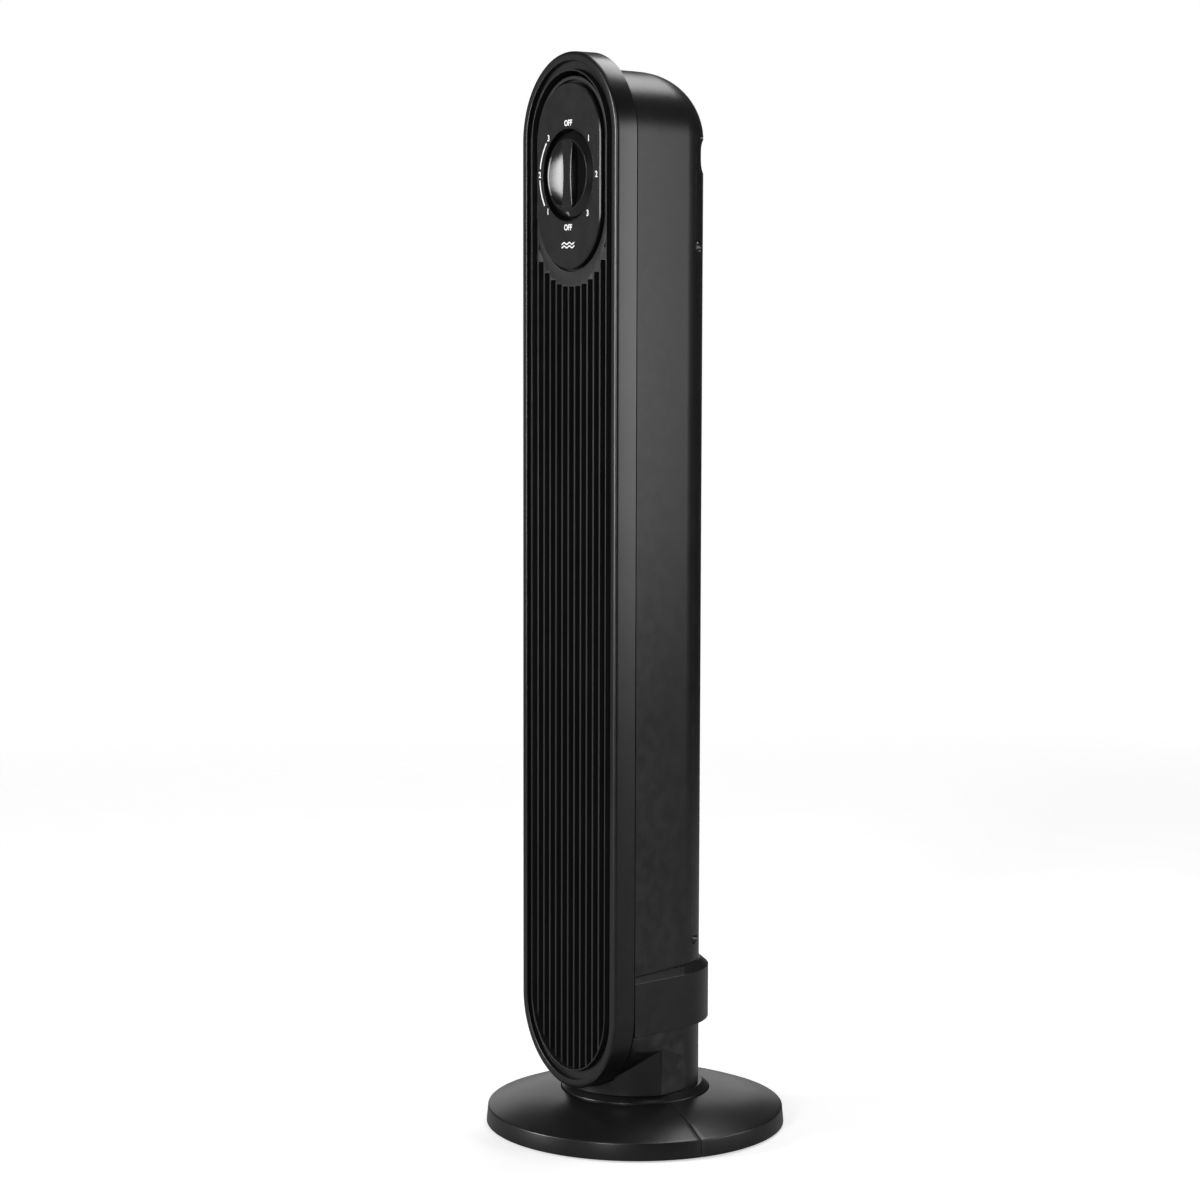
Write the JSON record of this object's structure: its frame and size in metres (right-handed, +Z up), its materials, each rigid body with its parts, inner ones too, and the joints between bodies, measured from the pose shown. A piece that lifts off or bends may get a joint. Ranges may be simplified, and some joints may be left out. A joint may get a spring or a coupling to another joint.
{
  "type": "tower fan",
  "caption": "Slim upright fan with a vertical-slot face, a rotary speed knob near the top and a round swinging base in two halves.",
  "frame": {"origin": "centre of the round base on the floor", "axes": "+Z up, -Y the way the air leaves, +X to the fan's left as it faces forward"},
  "size_m": [0.2288, 0.2288, 0.81],
  "materials": {
    "shell_black": "satin, fine moulded grain",
    "panel_black": "smooth satin with white printed marks",
    "knob_black": "semi-gloss",
    "inner_black": "dull",
    "rubber_black": "dull",
    "bright_steel": "ground",
    "zinc_steel": "zinc plated",
    "motor_metal": "plain sheet steel",
    "white_acetal": "waxy",
    "bronze": "sintered",
    "cream_plastic": "plain"
  },
  "bodies": {
    "base": {"base_front_half": "shell_black", "base_rear_half": "shell_black", "swivel_ring": "shell_black", "gear_sector": "white_acetal", "thrust_ring": "white_acetal", "foot_1": "rubber_black", "foot_2": "rubber_black", "foot_3": "rubber_black", "foot_4": "rubber_black", "foot_5": "rubber_black", "foot_6": "rubber_black", "base_screw_1": "zinc_steel", "base_screw_2": "zinc_steel", "base_screw_3": "zinc_steel", "base_screw_4": "zinc_steel"},
    "tower": {"neck_shell": "shell_black", "rear_collar": "shell_black", "rear_housing": "shell_black", "rear_grille": "shell_black", "handle_cup": "shell_black", "front_bezel": "shell_black", "front_grille": "shell_black", "control_panel": "panel_black", "turntable": "inner_black", "switch_body": "inner_black", "duct_bottom_plate": "inner_black", "duct_top_plate": "inner_black", "air_guide": "inner_black", "air_cutoff": "inner_black", "bearing_holder": "inner_black", "motor_cover": "inner_black", "cable_gland": "rubber_black", "motor_damper_1": "rubber_black", "motor_damper_2": "rubber_black", "motor_damper_3": "rubber_black", "retaining_plate": "zinc_steel", "spindle_nut": "zinc_steel", "motor_bracket": "zinc_steel", "collar_screw_1": "zinc_steel", "collar_screw_2": "zinc_steel", "housing_screw_1": "zinc_steel", "housing_screw_2": "zinc_steel", "housing_screw_3": "zinc_steel", "housing_screw_4": "zinc_steel", "swing_motor": "motor_metal", "fan_motor": "motor_metal", "bearing_bush": "bronze", "capacitor": "cream_plastic", "terminal_block": "cream_plastic"},
    "impeller": {"impeller": "inner_black", "motor_shaft": "bright_steel", "bearing_pin": "bright_steel"},
    "knob": {"knob": "knob_black", "switch_shaft": "bright_steel"},
    "swing_pinion": {"swing_pinion": "white_acetal"}
  },
  "joints": [
    {"name": "tower_swing", "type": "hinge", "parent": "base", "child": "tower", "pos_m": [0, 0, 0.0336], "axis": [0, 0, 1], "range_deg": [-44.3, 25.7]},
    {"name": "impeller_spin", "type": "hinge", "parent": "tower", "child": "impeller", "pos_m": [0, 0, 0.417], "axis": [0, 0, 1], "continuous": true},
    {"name": "knob_turn", "type": "hinge", "parent": "tower", "child": "knob", "pos_m": [0, -0.0628, 0.7202], "axis": [0, -1, 0], "continuous": true},
    {"name": "pinion_spin", "type": "hinge", "parent": "tower", "child": "swing_pinion", "pos_m": [0, 0.0195, 0.0242], "axis": [0, 0, 1], "range_deg": [-82, 141]}
  ],
  "couplings": [
    {"joint": "pinion_spin", "follows": "tower_swing", "ratio": -3.1667}
  ]
}
